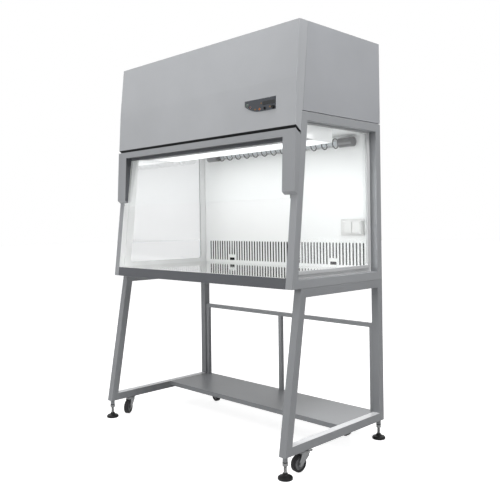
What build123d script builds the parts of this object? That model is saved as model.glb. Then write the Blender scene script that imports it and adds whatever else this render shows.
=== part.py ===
"""Vertical laminar flow hood: a glazed work chamber with a fan and filter head, on a welded stand.

Millimetres, +Z up, X across the front, Y towards the back. The origin is on the floor, at the middle
of the footprint of the four levelling feet. Three units stand on each other: the stand (z 0 to 806),
the work chamber (806 to 1591) and the head (1591 to 2000).
"""
import os
from math import atan2, cos, hypot, radians, sin, tan

from build123d import *

os.makedirs("parts", exist_ok=True)

# ---------------------------------------------------------------- overall sizes
frame_width = 1346.0            # over the welded side frames
head_inset = 1.5                # the head's side panels lie this far inside the side frames
total_height = 2000.0
rear_y = 379.0                  # rear plane of the frames
tube = 40.0                     # square tube of the side frames
tube_wall = 2.0
tube_corner = 2.5
sheet = 1.5                     # folded sheet
seat_gap = 0.3                  # clearance between pieces that are fitted together
flat_gap = 1.0                  # visible joint between painted panels

# ---------------------------------------------------------------- stand
stand_underside = 95.0
stand_top = 806.0
stand_depth_bottom = 758.0
stand_depth_top = 640.0
small_tube = 22.0               # rear ladder frame
small_tube_wall = 1.5
ladder_bar_drop = 225.0         # top of the ladder's bar, below the stand's top
ladder_rail_rise = 16.0         # underside of its rail, above the stand's underside
shelf_depth = 303.7
shelf_flange = 24.0
caster_channel_width = 60.0
caster_channel_wall = 3.0

# ---------------------------------------------------------------- levelling feet
foot_pad_radius = 33.0
foot_pad_height = 27.0
foot_stud_radius = 7.0
foot_stud_top = 115.0
foot_collar_radius = 11.5
foot_collar_length = 21.0
foot_ring_height = 4.0
foot_nut_across_flats = 22.0
foot_nut_height = 13.0

# ---------------------------------------------------------------- casters
wheel_radius = 37.5
wheel_width = 25.0
wheel_clearance = 4.0           # the stand rests on its feet, so the wheels hang clear of the floor
caster_trail = 30.0
swivel_radius = 25.0
kingpin_radius = 5.0
caster_axle_radius = 4.0
prong_thickness = 2.5
prong_inner_half = 14.5
caster_stem_radius = 6.0
caster_stem_length = 23.0
pedal_reach = 50.0
pedal_half_width = 12.5
pedal_corner = 10.0
pedal_pin_radius = 2.5
front_caster_setback = 123.0    # behind the front feet
rear_caster_inset = 193.0       # from the sides of the stand
rear_caster_setback = 110.0     # in front of the rear plane
running_gap = 0.05              # radial clearance of a shaft in its bore

# ---------------------------------------------------------------- work chamber
chamber_height = 785.0
chamber_depth_bottom = 703.0
chamber_depth_top = 616.0
worktop_rise = 50.0             # above the stand's top
worktop_edge = 8.0             # folded side edges
base_beam_depth = 30.0
stringer_x = 250.0
side_glass = 5.0
side_glass_overlap = 8.0
seal_inset = 20.0               # from the frame's tubes, on the pane's enamelled border
seal_width = 16.0
seal_corner = 28.0
seal_depth = 8.0
duct_depth = 30.0               # return-air duct behind the back wall
upper_beam_height = 72.0        # below the ceiling
upper_beam_depth = 138.4        # from the post plane to its rear face
work_light_depth = 180.0
work_light_end = 73.0           # its ends, from the sides of the frames
work_light_rise = 3.0           # above the upper beam's underside

# return-air grille in the back wall
slot_pitch = 21.5
slot_margin = 42.0              # plain strip at each end of the row
slot_width = 9.5
slot_rise = 14.0                # lower ends of the slots, above the worktop
slot_length = 119.0
port_rise = 34.0                # the three slots over a port start this much higher
port_width = 42.0
port_height = 16.0

# ---------------------------------------------------------------- front sash
arm_width = 75.0
# (in front of the post plane, above the upper beam's underside)
arm_top_corner = (39.84, 33.0)
arm_bottom_corner = (20.55, -244.0)
arm_rear_drop = 258.0
arm_rear_rise = 5.0
hinge_offset = (30.8, 20.0)
sash_glass = 5.0
sash_glass_drop = 274.0
lug_thickness = 5.0
lug_inset = 23.0                 # from the outside of the frame to the middle of a lug
lug_tip_radius = 5.5
lug_root = (2.0, -27.0)         # ends of its weld on the post, above the beam's underside
sash_pin_radius = 3.0
gusset_spread = 8.5             # gussets either side of the lug
gusset_thickness = 3.0
lug_slot = 7.0
glazing_flange = 25.0
bond_line = 0.05                # adhesive between the glass and its flanges

# ---------------------------------------------------------------- lamp and socket on the back wall
lamp_standoff = 32.0            # from the back wall
lamp_rise = 33.0                # above the upper beam's underside
lamp_tube_radius = 13.0
lamp_tube_half = 480.0
holder_inner_x = 465.0
holder_outer_x = 550.0
holder_radius = 25.0
guard_radius = 27.0
guard_wire = 3.0
guard_pitch = 72.5
guard_hoops = 13
socket_plate_inset = 155.0      # from the side of the frame
socket_box_inset = 138.0
socket_rise = 214.0             # above the worktop
socket_plate = (144.0, 88.0, 8.0)       # width, height, depth
socket_box = (102.0, 68.0, 25.0)
socket_ear = 3.0
socket_recess_radius = 18.0
socket_recess_depth = 14.0
socket_lid_thickness = 4.0
socket_pin_radius = 1.5

# ---------------------------------------------------------------- head
head_gap = 4.0                  # height of the recessed spacer ring
fascia_top_depth = 60.2         # in front of the head's seam line, at the roof
# (in front of the post plane, above the head's underside)
fascia_bend_corner = (52.25, 146.2)
# (in front of the post plane, above the upper beam's underside)
fascia_bottom_corner = (39.7, 47.0)
fascia_bottom_rise = 19.0
fascia_edge_radius = 2.0
tongue_height = 50.0
panel_inset = 217.0             # middle of the control panel, from the side of the frame
panel_rise = 45.0               # and above the head's underside
panel_width = 199.0
panel_height = 60.0
panel_left_edge = 25.0          # straight part of the panel's left edge
panel_curve_end = 7.0           # where the bottom edge starts to curve up to the left edge
panel_rim = 2.5
head_flange = 45.0              # floor flange that the filter stands on
spacer_inset = 8.0              # recessed ring between the chamber and the head
spacer_width = 30.0
seam_offset = 5.0               # the head's front edge lies this far behind the post plane
filter_end = 33.0               # its ends, from the sides of the frames
filter_front_gap = 26.6         # from the head's seam line
filter_rear_gap = 29.0
filter_height = 70.0
plenum_height = 155.0
fan_radius = 130.0
fan_eye_radius = 95.0
fan_blades = 9
fan_shaft_radius = 6.0
impeller_height = 75.0
bridge_half = 125.0
bridge_height = 45.0
intake_slots = 12
intake_pitch = 80.0
intake_length = 200.0
intake_width = 8.0
intake_setback = 209.0          # in front of the rear plane
mains_inset = 173.0             # from the side of the frame
mains_inlet = (28.0, 20.0)

# controls: (along the panel, up the panel) from its middle
start_button = (-83.0, 9.8)
stop_button = (-62.5, -2.5)
lamp_button = (-1.5, -18.3)
key_switch = (30.5, -18.4)
speed_knob = (84.4, -19.0)
indicators = ((-30.3, -16.3), (7.5, 8.0), (62.6, -14.6))
indicator_radius = 3.5
display_centre = (54.0, 6.5)
display_size = (74.0, 17.0)
panel_plate = 1.5
panel_housing_depth = 28.0
bezel = 1.5
button_well = 9.0
button_height = 2.6
button_travel = 1.5
control_shaft = 3.0


# ---------------------------------------------------------------- shared geometry
half_width = frame_width / 2
lug_x = half_width - lug_inset
inner_x = half_width - tube
chamber_top = stand_top + chamber_height
head_bottom = chamber_top + head_gap
worktop_z = stand_top + worktop_rise
ceiling_z = chamber_top - tube
upper_beam_bottom = ceiling_z - upper_beam_height
back_wall_front_y = rear_y - duct_depth
head_half = half_width - head_inset


def post_front(z):
    """Y of the sloping front plane of the chamber posts at height z."""
    slope = (chamber_depth_bottom - chamber_depth_top) / (chamber_top - stand_top)
    return rear_y - chamber_depth_bottom + (z - stand_top) * slope


def seam(z):
    """Y of the head cabinet's sloping front edge at height z."""
    return post_front(z) + seam_offset


def before_post(corner, base):
    """(y, z) of a corner given by its distance before the post plane and its height over a base."""
    z = base + corner[1]
    return (post_front(z) - corner[0], z)


def at_y(y):
    """Vertical sketch plane at y, with local x along X and local y along Z, facing the front."""
    return Plane.XZ.offset(-y)


def at_x(x):
    """Vertical sketch plane at x, with local x along Y and local y along Z."""
    return Plane.YZ.offset(x)


def beyond(start, end, share):
    """Point on the line from start through end, at the given share of its length."""
    return tuple(a + (b - a) * share for a, b in zip(start, end))


def save(builder, label):
    """Label a finished piece and write it as one STEP file."""
    builder.part.label = label
    export_step(builder.part, f"parts/{label}.step")


def tube_loop(builder, x_start, corners):
    """Closed loop of mitred and welded square tube, its outer corners given as (y, z)."""
    with BuildSketch(at_x(x_start)) as loop:
        Polygon(*corners, align=None)
        offset(amount=-tube, kind=Kind.INTERSECTION, mode=Mode.SUBTRACT)
    extrude(loop.sketch, amount=tube)
    rims = builder.edges().group_by(Axis.X)
    fillet(rims[0] + rims[-1], tube_corner)
    with BuildSketch(at_x(x_start + tube_wall)) as bore:
        Polygon(*corners, align=None)
        offset(amount=-tube_wall, kind=Kind.INTERSECTION, mode=Mode.REPLACE)
        offset(amount=2 * tube_wall - tube, kind=Kind.INTERSECTION, mode=Mode.SUBTRACT)
    extrude(bore.sketch, amount=tube - 2 * tube_wall, mode=Mode.SUBTRACT)


sides = (("left", -1), ("right", 1))
foot_x = half_width - tube / 2
foot_front_y = rear_y - stand_depth_bottom + tube / 2
foot_rear_y = rear_y - tube / 2
front_caster_y = foot_front_y + front_caster_setback
rear_caster_x = half_width - rear_caster_inset
rear_caster_y = rear_y - rear_caster_setback
feet = tuple(
    (f"{row}_{side}", sign * foot_x, y)
    for row, y in (("front", foot_front_y), ("rear", foot_rear_y))
    for side, sign in sides
)
stand_corners = (
    (rear_y, stand_underside),
    (rear_y, stand_top),
    (rear_y - stand_depth_top, stand_top),
    (rear_y - stand_depth_bottom, stand_underside),
)
chamber_corners = (
    (rear_y, stand_top),
    (rear_y, chamber_top),
    (rear_y - chamber_depth_top, chamber_top),
    (rear_y - chamber_depth_bottom, stand_top),
)

# name, x, y, direction of trail in degrees from +X, brake pedal
casters = (
    ("front_left", -foot_x, front_caster_y, 300.0, True),
    ("front_right", foot_x, front_caster_y, 262.0, True),
    ("rear_left", -rear_caster_x, rear_caster_y, 345.0, False),
    ("rear_right", rear_caster_x, rear_caster_y, 0.0, False),
)

# ================================================================ stand
for side, sign in sides:
    x_start = half_width * sign - (tube if sign > 0 else 0)
    own_feet = [(x, y) for name, x, y in feet if name.endswith(side)]
    with BuildPart() as stand_side:
        tube_loop(stand_side, x_start, stand_corners)
        # threaded collars of the levelling feet, welded under the corners
        with BuildSketch(Plane.XY.offset(stand_underside)):
            with Locations(*own_feet):
                Circle(foot_collar_radius)
        extrude(amount=-foot_collar_length)
        with BuildSketch(Plane.XY.offset(stand_underside - foot_collar_length)):
            with Locations(*own_feet):
                Circle(foot_stud_radius + running_gap)
        extrude(amount=foot_collar_length + 2 * tube_wall, mode=Mode.SUBTRACT)
        # hole for the front caster's stem
        with BuildSketch(Plane.XY.offset(stand_underside)):
            with Locations((sign * foot_x, front_caster_y)):
                Circle(caster_stem_radius + seat_gap)
        extrude(amount=2 * tube_wall, mode=Mode.SUBTRACT)
    save(stand_side, f"stand_side_{side}")

ladder_half = inner_x - seat_gap
ladder_y = rear_y - (tube - small_tube) / 2 - small_tube
ladder_bar_top = stand_top - ladder_bar_drop
ladder_rail_bottom = stand_underside + ladder_rail_rise
ladder_middle = (ladder_bar_top + ladder_rail_bottom) / 2
ladder_size = (2 * ladder_half, ladder_bar_top - ladder_rail_bottom)
window_width = (2 * ladder_half - 3 * small_tube) / 2
window_x = (window_width + small_tube) / 2
with BuildPart() as stand_rear_frame:
    with BuildSketch(at_y(ladder_y)):
        with Locations((0, ladder_middle)):
            Rectangle(*ladder_size)
        with Locations((-window_x, ladder_middle), (window_x, ladder_middle)):
            Rectangle(window_width, ladder_size[1] - 2 * small_tube, mode=Mode.SUBTRACT)
    extrude(amount=-small_tube)
    rims = stand_rear_frame.edges().group_by(Axis.Y)
    fillet(rims[0] + rims[-1], small_tube_wall)
    with BuildSketch(at_y(ladder_y + small_tube_wall)):
        with Locations((0, ladder_middle)):
            Rectangle(2 * ladder_half, ladder_size[1] - 2 * small_tube_wall)
        with Locations((-window_x, ladder_middle), (window_x, ladder_middle)):
            Rectangle(
                window_width + 2 * small_tube_wall,
                ladder_size[1] - 2 * small_tube + 2 * small_tube_wall,
                mode=Mode.SUBTRACT,
            )
    extrude(amount=2 * small_tube_wall - small_tube, mode=Mode.SUBTRACT)
save(stand_rear_frame, "stand_rear_frame")

shelf_top = stand_underside + tube
shelf_rear_y = ladder_y - seat_gap
shelf_front_y = shelf_rear_y - shelf_depth
shelf_half = inner_x - seat_gap
channel_y = rear_caster_y - caster_channel_width / 2
channel_top = shelf_top - sheet
with BuildPart() as shelf:
    # top sheet with its front and rear edges folded down and in
    with BuildSketch(at_x(-shelf_half)):
        with BuildLine():
            Polyline(
                (shelf_front_y, shelf_top),
                (shelf_rear_y, shelf_top),
                (shelf_rear_y, shelf_top - shelf_flange),
                (shelf_rear_y - shelf_flange / 2, shelf_top - shelf_flange),
                (shelf_rear_y - shelf_flange / 2, shelf_top - shelf_flange + sheet),
                (shelf_rear_y - sheet, shelf_top - shelf_flange + sheet),
                (shelf_rear_y - sheet, channel_top),
                (shelf_front_y + sheet, channel_top),
                (shelf_front_y + sheet, shelf_top - shelf_flange + sheet),
                (shelf_front_y + shelf_flange / 2, shelf_top - shelf_flange + sheet),
                (shelf_front_y + shelf_flange / 2, shelf_top - shelf_flange),
                (shelf_front_y, shelf_top - shelf_flange),
                close=True,
            )
        make_face()
    extrude(amount=2 * shelf_half)
    # channel welded underneath, which carries the rear casters
    with BuildSketch(at_x(-shelf_half)):
        with Locations((channel_y, stand_underside)):
            Rectangle(caster_channel_width, channel_top - stand_underside, align=(Align.MIN, Align.MIN))
        with Locations((channel_y + caster_channel_wall, stand_underside + caster_channel_wall)):
            Rectangle(
                caster_channel_width - 2 * caster_channel_wall,
                channel_top - stand_underside,
                align=(Align.MIN, Align.MIN),
                mode=Mode.SUBTRACT,
            )
    extrude(amount=2 * shelf_half)
    with BuildSketch(Plane.XY.offset(stand_underside)):
        with Locations((-rear_caster_x, rear_caster_y), (rear_caster_x, rear_caster_y)):
            Circle(caster_stem_radius + seat_gap)
    extrude(amount=caster_channel_wall, mode=Mode.SUBTRACT)
save(shelf, "shelf")

# ---------------------------------------------------------------- levelling feet
collar_end = stand_underside - foot_collar_length
with BuildPart() as foot_nuts:
    # lock nut under a rubber-faced ring, one on each stud
    for name, x, y in feet:
        with BuildSketch(Plane.XY.offset(collar_end)):
            with Locations((x, y)):
                Circle(foot_collar_radius + 0.5)
                Circle(foot_stud_radius + running_gap, mode=Mode.SUBTRACT)
        extrude(amount=-foot_ring_height)
        with BuildSketch(Plane.XY.offset(collar_end - foot_ring_height)):
            with Locations((x, y)):
                RegularPolygon(foot_nut_across_flats / 2, 6, major_radius=False)
                Circle(foot_stud_radius + running_gap, mode=Mode.SUBTRACT)
        extrude(amount=-foot_nut_height)
save(foot_nuts, "foot_nuts")

for name, x, y in feet:
    with BuildPart() as foot:
        foot_plane = Plane(origin=(x, y, 0), x_dir=(1, 0, 0), z_dir=(0, -1, 0))
        with BuildSketch(foot_plane):
            with BuildLine():
                Polyline(
                    (0, 0),
                    (foot_pad_radius - 1.5, 0),
                    (foot_pad_radius, 1.5),
                    (foot_pad_radius, 8),
                    (foot_pad_radius - 3, 12.5),
                )
                Spline(
                    (foot_pad_radius - 3, 12.5),
                    (foot_stud_radius + 9, 18.5),
                    (foot_stud_radius + 3.5, foot_pad_height),
                    tangents=((-1, 0.55), (-0.15, 1)),
                )
                Polyline(
                    (foot_stud_radius + 3.5, foot_pad_height),
                    (foot_stud_radius, foot_pad_height + 2),
                    (foot_stud_radius, foot_stud_top - 1),
                    (foot_stud_radius - 1, foot_stud_top),
                    (0, foot_stud_top),
                    (0, 0),
                )
            make_face()
        revolve(axis=Axis((x, y, 0), (0, 0, 1)))
    save(foot, f"foot_{name}")

# ---------------------------------------------------------------- casters
axle_z = wheel_clearance + wheel_radius
prong_top = 84.5
crown_bottom = 82.0
housing_top = stand_underside - 3.0 - seat_gap
pin_head_bottom = 78.5
pedal_pivot = (-15.0, 76.0)     # (along trail, height)
for name, x, y, yaw, braked in casters:
    trail_dir = (cos(radians(yaw)), sin(radians(yaw)), 0)
    axle_dir = (sin(radians(yaw)), -cos(radians(yaw)), 0)
    side_plane = Plane(origin=(x, y, 0), x_dir=trail_dir, z_dir=axle_dir)
    flat_plane = Plane(origin=(x, y, 0), x_dir=trail_dir, z_dir=(0, 0, 1))

    with BuildPart() as caster_mount:
        with BuildSketch(flat_plane.offset(stand_underside)):
            Circle(swivel_radius)
        extrude(amount=-3)
        with BuildSketch(flat_plane.offset(stand_underside)):
            Circle(caster_stem_radius)
        extrude(amount=caster_stem_length)
        with BuildSketch(flat_plane.offset(pin_head_bottom)):
            Circle(kingpin_radius)
        extrude(amount=stand_underside - 3 - pin_head_bottom)
        with BuildSketch(flat_plane.offset(pin_head_bottom)):
            Circle(kingpin_radius + 3.5)
        extrude(amount=crown_bottom - seat_gap - pin_head_bottom)
    save(caster_mount, f"caster_mount_{name}")

    with BuildPart() as caster_fork:
        with BuildSketch(flat_plane.offset(crown_bottom)):
            Circle(swivel_radius)
        extrude(amount=housing_top - crown_bottom)
        fillet(caster_fork.edges().sort_by(Axis.Z)[-1], 3)
        for start in (prong_inner_half, -prong_inner_half - prong_thickness):
            with BuildSketch(side_plane.offset(start)):
                with Locations((caster_trail, axle_z)):
                    Circle(11)
                with Locations((1, prong_top)):
                    Rectangle(40, 14, align=(Align.CENTER, Align.MAX))
                make_hull()
            extrude(amount=prong_thickness)
        with BuildSketch(flat_plane.offset(crown_bottom)):
            Circle(kingpin_radius + running_gap)
        extrude(amount=housing_top - crown_bottom, mode=Mode.SUBTRACT)
        # riveted axle with its two heads
        with BuildSketch(side_plane):
            with Locations((caster_trail, axle_z)):
                Circle(caster_axle_radius)
        extrude(amount=prong_inner_half + prong_thickness, both=True)
        for start, length in (
            (prong_inner_half + prong_thickness, 3),
            (-prong_inner_half - prong_thickness, -3),
        ):
            with BuildSketch(side_plane.offset(start)):
                with Locations((caster_trail, axle_z)):
                    Circle(caster_axle_radius + 3)
            extrude(amount=length)
        if braked:
            with BuildSketch(side_plane):
                with Locations(pedal_pivot):
                    Circle(pedal_pin_radius + running_gap)
            extrude(amount=prong_inner_half + prong_thickness + 1, both=True, mode=Mode.SUBTRACT)
    save(caster_fork, f"caster_fork_{name}")

    with BuildPart() as caster_wheel:
        with BuildSketch(side_plane):
            with Locations((caster_trail, axle_z)):
                Circle(wheel_radius)
        extrude(amount=wheel_width / 2, both=True)
        fillet(caster_wheel.edges().filter_by(GeomType.CIRCLE), 5)
        for start, length in ((wheel_width / 2, -4), (-wheel_width / 2, 4)):
            with BuildSketch(side_plane.offset(start)):
                with Locations((caster_trail, axle_z)):
                    Circle(wheel_radius - 10)
                    Circle(wheel_radius - 25, mode=Mode.SUBTRACT)
            extrude(amount=length, mode=Mode.SUBTRACT)
        with BuildSketch(side_plane):
            with Locations((caster_trail, axle_z)):
                Circle(wheel_radius - 27)
        extrude(amount=prong_inner_half - 0.5, both=True)
        with BuildSketch(side_plane):
            with Locations((caster_trail, axle_z)):
                Circle(caster_axle_radius + running_gap)
        extrude(amount=prong_inner_half, both=True, mode=Mode.SUBTRACT)
    save(caster_wheel, f"caster_wheel_{name}")

    if not braked:
        continue
    with BuildPart() as brake_pedal:
        # looped tread of the pedal
        loop_middle = (swivel_radius + 1 + pedal_reach) / 2
        with BuildSketch(flat_plane.offset(prong_top - 0.5)):
            with Locations((-loop_middle, 0)):
                RectangleRounded(pedal_reach - swivel_radius - 1, 2 * pedal_half_width, pedal_corner)
                RectangleRounded(9, 13, 4, mode=Mode.SUBTRACT)
        extrude(amount=2.5)
        # bent web, arm and shoe between the prongs
        with BuildSketch(side_plane):
            Polygon(
                (-29, prong_top),
                (-swivel_radius - 1, prong_top),
                (-swivel_radius - 1, 80.5),
                (-11, 80.5),
                (-7, 74),
                (-5.5, 60),
                (-8.5, 58),
                (-18, 70),
                (-29, 77),
                align=None,
            )
        extrude(amount=10, both=True)
        with BuildSketch(side_plane):
            with Locations(pedal_pivot):
                Circle(pedal_pin_radius)
        extrude(amount=prong_inner_half + prong_thickness + 1, both=True)
    save(brake_pedal, f"brake_pedal_{name}")

# ================================================================ work chamber
sash_axis = before_post(hinge_offset, upper_beam_bottom)
for side, sign in sides:
    x_start = half_width * sign - (tube if sign > 0 else 0)
    with BuildPart() as chamber_side:
        tube_loop(chamber_side, x_start, chamber_corners)
        # lug on the post that carries the sash's hinge pin
        with BuildSketch(at_x(sign * lug_x - lug_thickness / 2)):
            with Locations(sash_axis):
                Circle(lug_tip_radius)
            with Locations(*[before_post((-1.2, rise), upper_beam_bottom) for rise in lug_root]):
                Circle(1)
            make_hull()
        extrude(amount=lug_thickness)
        with BuildSketch(at_x(sign * lug_x - lug_thickness)):
            with Locations(sash_axis):
                Circle(sash_pin_radius + running_gap)
        extrude(amount=2 * lug_thickness, mode=Mode.SUBTRACT)
        # drain hole of the closed tube
        with BuildSketch(Plane.XY.offset(stand_top)):
            with Locations((sign * foot_x, 0)):
                Circle(3)
        extrude(amount=2 * tube_wall, mode=Mode.SUBTRACT)
    save(chamber_side, f"chamber_side_{side}")

    with BuildPart() as side_pane:
        with BuildSketch(at_x(sign * (inner_x - seat_gap))):
            Polygon(*chamber_corners, align=None)
            offset(amount=side_glass_overlap - tube, kind=Kind.INTERSECTION, mode=Mode.REPLACE)
        extrude(amount=-sign * side_glass)
    save(side_pane, f"side_glass_{side}")

with BuildPart() as side_seals:
    for side, sign in sides:
        with BuildSketch(at_x(sign * inner_x)) as seal:
            Polygon(*chamber_corners, align=None)
            offset(amount=-tube - seal_inset, kind=Kind.INTERSECTION, mode=Mode.REPLACE)
            fillet(seal.vertices(), seal_corner)
            offset(amount=-seal_width, kind=Kind.INTERSECTION, mode=Mode.SUBTRACT)
        extrude(amount=sign * seal_depth)
save(side_seals, "side_seals")

beam_half = inner_x - seat_gap
stringer_top = worktop_z - sheet
beam_top = stringer_top
beam_rear_front_y = back_wall_front_y + sheet
with BuildPart() as base_frame:
    # front beam, its face flush with the sloping posts
    with BuildSketch(at_x(-beam_half)):
        Polygon(
            (post_front(stand_top), stand_top),
            (post_front(beam_top), beam_top),
            (post_front(beam_top) + base_beam_depth, beam_top),
            (post_front(stand_top) + base_beam_depth, stand_top),
            align=None,
        )
        offset(amount=-tube_wall, kind=Kind.INTERSECTION, mode=Mode.SUBTRACT)
    extrude(amount=2 * beam_half)
    # rear beam
    with BuildSketch(at_x(-beam_half)):
        with Locations((rear_y, stand_top)):
            Rectangle(rear_y - beam_rear_front_y, tube, align=(Align.MAX, Align.MIN))
        offset(amount=-tube_wall, kind=Kind.INTERSECTION, mode=Mode.SUBTRACT)
    extrude(amount=2 * beam_half)
    # stringers under the worktop
    for x in (-stringer_x, stringer_x):
        with BuildSketch(at_x(x - tube / 2)):
            Polygon(
                (post_front(stand_top + tube) + base_beam_depth - 0.5, stringer_top - tube),
                (post_front(stringer_top) + base_beam_depth - 0.5, stringer_top),
                (beam_rear_front_y, stringer_top),
                (beam_rear_front_y, stringer_top - tube),
                align=None,
            )
        extrude(amount=tube)
save(base_frame, "base_frame")

worktop_half = inner_x - seat_gap - side_glass - 0.7
worktop_rear_y = back_wall_front_y - 0.5
with BuildPart() as worktop:
    with BuildSketch(Plane.XY.offset(stringer_top)):
        with Locations((0, (post_front(worktop_z) + worktop_rear_y) / 2)):
            Rectangle(2 * worktop_half, worktop_rear_y - post_front(worktop_z))
    extrude(amount=sheet)
    # side edges folded down
    for sign in (-1, 1):
        with BuildSketch(at_x(sign * worktop_half)):
            with Locations((worktop_rear_y, stringer_top)):
                Rectangle(
                    worktop_rear_y - post_front(beam_top) - base_beam_depth - 2,
                    worktop_edge,
                    align=(Align.MAX, Align.MAX),
                )
        extrude(amount=-sign * sheet)
save(worktop, "worktop")

wall_bottom = stringer_top + seat_gap
slot_bottom = worktop_z + slot_rise
slot_top = slot_bottom + slot_length
slot_side = int((inner_x - slot_margin) / slot_pitch)
port_index = slot_side - 9
slot_count = 2 * slot_side + 1
slot_first_x = -slot_side * slot_pitch
port_x = port_index * slot_pitch
with BuildPart() as back_wall:
    with BuildSketch(at_y(back_wall_front_y)):
        with Locations((0, (wall_bottom + ceiling_z) / 2)):
            Rectangle(2 * beam_half, ceiling_z - wall_bottom)
        for index in range(slot_count):
            x = slot_first_x + index * slot_pitch
            over_port = abs(abs(x) - port_x) < 1.5 * slot_pitch
            low = slot_bottom + (port_rise if over_port else 0)
            with Locations((x, (low + slot_top) / 2)):
                SlotOverall(slot_top - low, slot_width, rotation=90, mode=Mode.SUBTRACT)
        with Locations((-port_x, slot_bottom + port_height / 2), (port_x, slot_bottom + port_height / 2)):
            RectangleRounded(port_width, port_height, 3, mode=Mode.SUBTRACT)
    extrude(amount=-sheet)
save(back_wall, "back_wall")

rear_panel_bottom = stand_top + tube + seat_gap
with BuildPart() as rear_panel:
    with BuildSketch(at_y(rear_y - 0.5)):
        with Locations((0, (rear_panel_bottom + chamber_top) / 2)):
            Rectangle(2 * beam_half, chamber_top - rear_panel_bottom)
    extrude(amount=sheet)
save(rear_panel, "rear_panel")


# upper beam: the fixed folded box beam behind the sash's header
beam_setback = sash_glass + 1.0
upper_half = worktop_half
upper_beam_rear_y = post_front(upper_beam_bottom) + upper_beam_depth
with BuildPart() as upper_beam:
    with BuildSketch(at_x(-upper_half)):
        Polygon(
            (post_front(upper_beam_bottom) + beam_setback, upper_beam_bottom),
            (post_front(ceiling_z) + beam_setback, ceiling_z),
            (upper_beam_rear_y, ceiling_z),
            (upper_beam_rear_y, upper_beam_bottom),
            align=None,
        )
        offset(amount=-sheet, kind=Kind.INTERSECTION, mode=Mode.SUBTRACT)
    extrude(amount=2 * upper_half)
    # end tabs that are screwed to the posts
    for sign in (-1, 1):
        with BuildSketch(at_x(sign * upper_half)):
            Polygon(
                (post_front(upper_beam_bottom) + beam_setback, upper_beam_bottom + 2),
                (post_front(ceiling_z) + beam_setback, ceiling_z - 2),
                (post_front(ceiling_z) + base_beam_depth, ceiling_z - 2),
                (post_front(upper_beam_bottom) + base_beam_depth, upper_beam_bottom + 2),
                align=None,
            )
        extrude(amount=sign * (beam_half - upper_half))
save(upper_beam, "upper_beam")

with BuildPart() as ceiling_diffuser:
    diffuser_front_y = post_front(ceiling_z) + beam_setback + 2
    diffuser_rear_y = back_wall_front_y + sheet
    with BuildSketch(Plane.XY.offset(ceiling_z)):
        with Locations((0, (diffuser_front_y + diffuser_rear_y) / 2)):
            Rectangle(2 * worktop_half, diffuser_rear_y - diffuser_front_y)
    extrude(amount=2)
save(ceiling_diffuser, "ceiling_diffuser")

work_light_half = half_width - work_light_end
work_light_bottom = upper_beam_bottom + work_light_rise
with BuildPart() as work_light:
    with BuildSketch(at_x(-work_light_half)):
        with Locations((upper_beam_rear_y, ceiling_z)):
            Rectangle(work_light_depth, ceiling_z - work_light_bottom, align=(Align.MIN, Align.MAX))
    extrude(amount=2 * work_light_half)
save(work_light, "work_light")

# ---------------------------------------------------------------- lamp on the back wall
lamp_axis_y = back_wall_front_y - lamp_standoff
lamp_axis = (lamp_axis_y, upper_beam_bottom + lamp_rise)
with BuildPart() as germicidal_tube:
    with BuildSketch(at_x(-lamp_tube_half)):
        with Locations(lamp_axis):
            Circle(lamp_tube_radius)
    extrude(amount=2 * lamp_tube_half)
save(germicidal_tube, "germicidal_tube")

with BuildPart() as lamp_holders:
    for sign in (-1, 1):
        with BuildSketch(at_x(sign * holder_inner_x)):
            with Locations(lamp_axis):
                Circle(holder_radius)
        extrude(amount=sign * (holder_outer_x - holder_inner_x))
        # foot of the holder on the back wall
        with BuildSketch(at_x(sign * (holder_inner_x + 15))):
            with Locations(lamp_axis):
                Rectangle(lamp_standoff, 24, align=(Align.MIN, Align.CENTER))
        extrude(amount=sign * 55)
        with BuildSketch(at_x(sign * holder_inner_x)):
            with Locations(lamp_axis):
                Circle(lamp_tube_radius + seat_gap)
        extrude(amount=sign * (lamp_tube_half - holder_inner_x + 2), mode=Mode.SUBTRACT)
save(lamp_holders, "lamp_holders")

guard_first_x = -(guard_hoops - 1) / 2 * guard_pitch
guard_rod_radius = 1.25
guard_rod_orbit = guard_radius - guard_wire - 0.7
with BuildPart() as lamp_guard:
    for index in range(guard_hoops):
        with BuildSketch(at_x(guard_first_x + index * guard_pitch - guard_wire / 2)):
            with Locations(lamp_axis):
                Circle(guard_radius)
                Circle(guard_radius - guard_wire, mode=Mode.SUBTRACT)
        extrude(amount=guard_wire)
    with BuildSketch(at_x(seat_gap - holder_inner_x)):
        with Locations(lamp_axis):
            with PolarLocations(guard_rod_orbit, 4, start_angle=45):
                Circle(guard_rod_radius)
    extrude(amount=2 * (holder_inner_x - seat_gap))
save(lamp_guard, "lamp_guard")

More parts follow.
